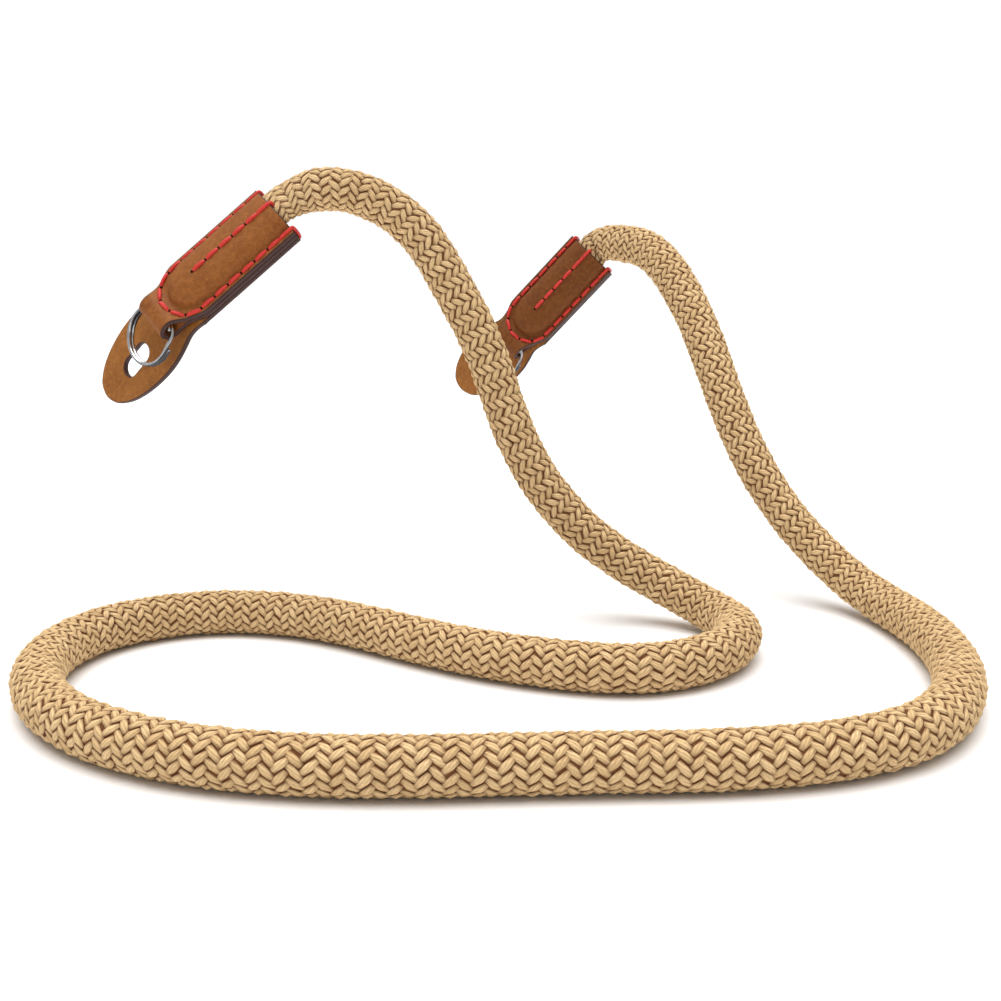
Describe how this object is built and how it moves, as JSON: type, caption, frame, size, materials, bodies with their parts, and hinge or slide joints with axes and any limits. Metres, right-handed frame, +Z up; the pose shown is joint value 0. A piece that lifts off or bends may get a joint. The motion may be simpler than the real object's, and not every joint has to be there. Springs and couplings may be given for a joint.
{
  "type": "camera neck strap",
  "caption": "Round braided rope neck strap with stitched leather ends, split rings and leather guards, draped as it hangs from a camera.",
  "frame": {"origin": "where the left split ring bears on the lug it hangs from: the inner far edge of the ring", "axes": "+X from the left ring's bearing point towards the right one's, level; +Z up; +Y away from the side on which the rope lies"},
  "size_m": [0.2075, 0.1996, 0.1048],
  "materials": {
    "rope": "braided cotton rope, sand brown",
    "leather_cover": "tan leather, matt grain, dark painted edges",
    "leather_guard": "tan leather, matt grain, dark painted edges",
    "steel": "polished steel wire",
    "thread": "waxed red thread"
  },
  "bodies": {
    "root": {"rope": "rope", "left_rope_end": "rope", "right_rope_end": "rope", "left_cover": "leather_cover", "right_cover": "leather_cover", "left_guard": "leather_guard", "right_guard": "leather_guard", "left_ring": "steel", "right_ring": "steel"}
  },
  "joints": []
}
